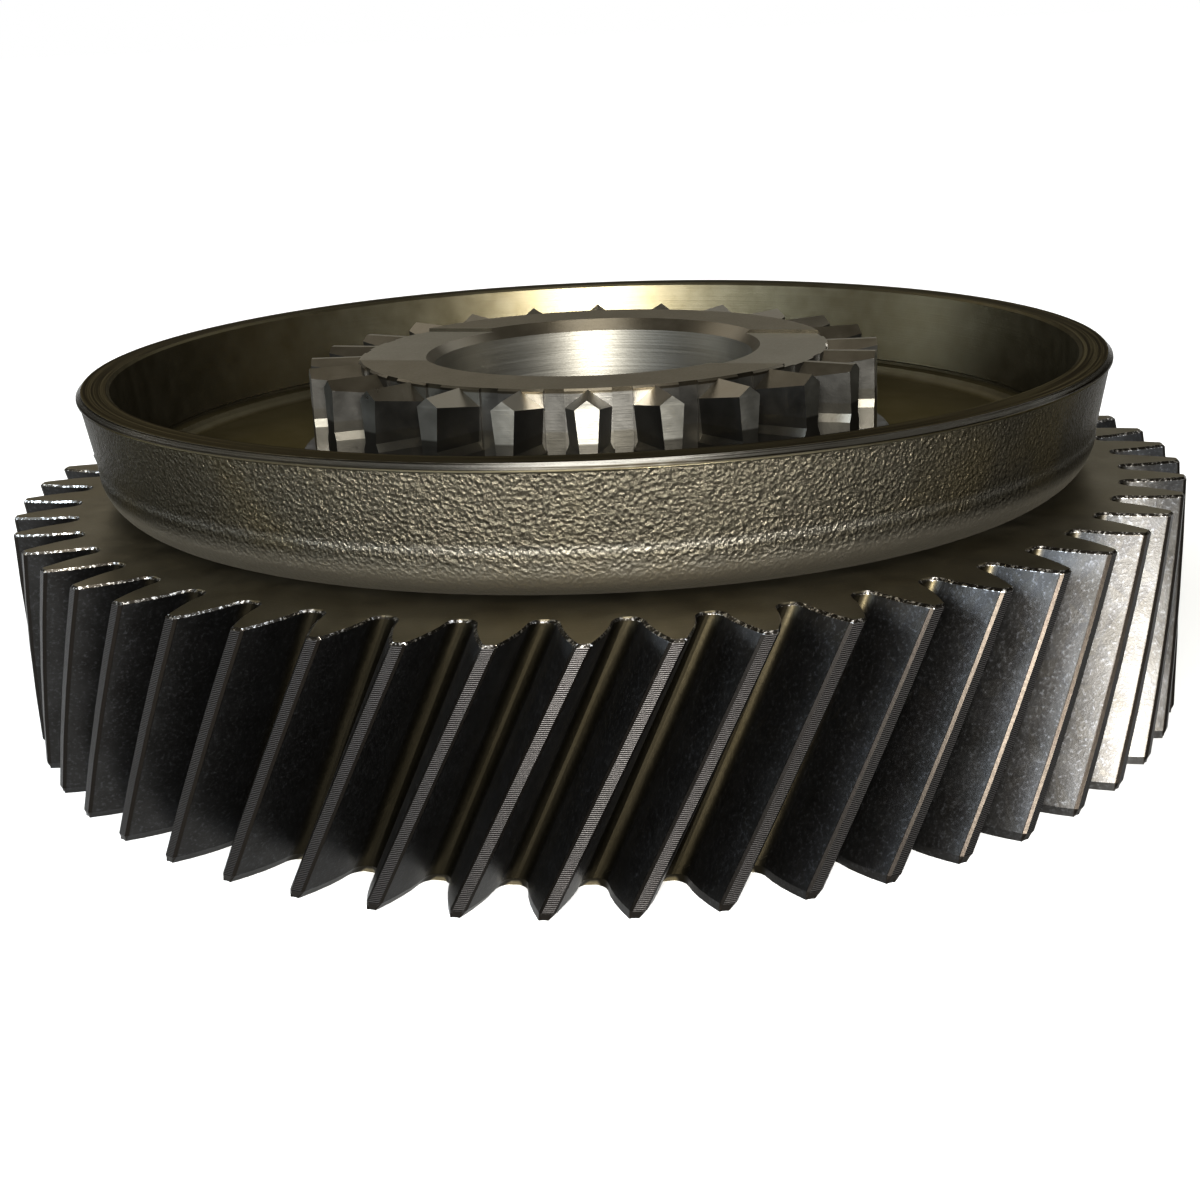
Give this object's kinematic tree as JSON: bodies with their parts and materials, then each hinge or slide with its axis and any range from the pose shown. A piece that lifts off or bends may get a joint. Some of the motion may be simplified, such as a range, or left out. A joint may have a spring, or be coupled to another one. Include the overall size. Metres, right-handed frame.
{
  "type": "helical gear",
  "caption": "Helical transmission gear with a plain bore, a ring of pointed clutch teeth on its hub and a synchroniser cup held on by a snap ring.",
  "frame": {"origin": "on the bore axis, in the plane of the gear's lower face", "axes": "+Z along the bore axis, from the gear towards the clutch teeth; X and Y lie in the lower face"},
  "size_m": [0.18, 0.18, 0.0539],
  "materials": {
    "gear_steel": "oiled, ground and hobbed dark steel",
    "cup_steel": "oiled steel, rough forged outside and ground inside",
    "spring_steel": "dark oiled spring steel"
  },
  "bodies": {
    "root": {"helical_gear": "gear_steel", "synchro_cup": "cup_steel", "cup_snap_ring": "spring_steel"}
  },
  "joints": []
}
